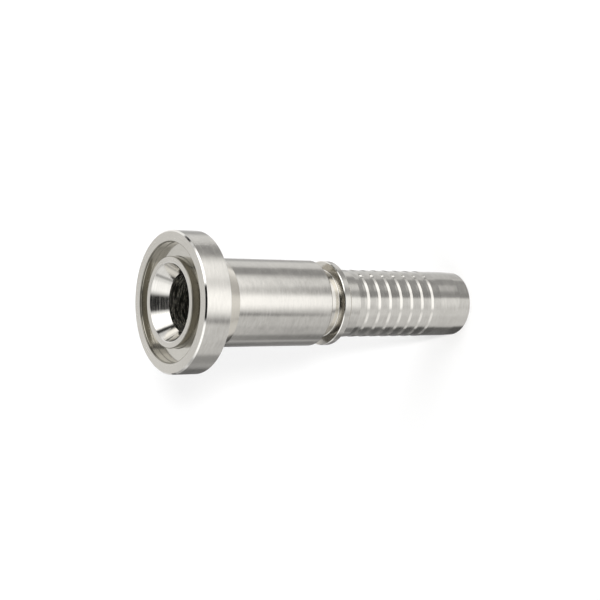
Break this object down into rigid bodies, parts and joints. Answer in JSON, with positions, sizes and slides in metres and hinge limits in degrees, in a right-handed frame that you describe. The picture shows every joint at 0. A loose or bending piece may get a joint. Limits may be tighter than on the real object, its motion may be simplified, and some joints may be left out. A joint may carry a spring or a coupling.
{
  "type": "hydraulic sae flange",
  "caption": "Straight crimp hose fitting turned from one bar: a flanged head with an O-ring groove in its sealing face, a plain neck, a ferrule lock groove and a barbed hose tail.",
  "frame": {"origin": "centre of the end of the hose tail, on which the fitting stands, and so the bottom centre of its box", "axes": "+Z is the axis of the fitting, from the hose tail to the head and out of the sealing face; X and Y are alike, because the fitting is a body of revolution"},
  "size_m": [0.0476, 0.0476, 0.1214],
  "materials": {
    "turned_steel": "bare stainless steel, fine turned finish, bright on the mouth cone and barbs"
  },
  "bodies": {
    "root": {"flange_fitting": "turned_steel"}
  },
  "joints": []
}
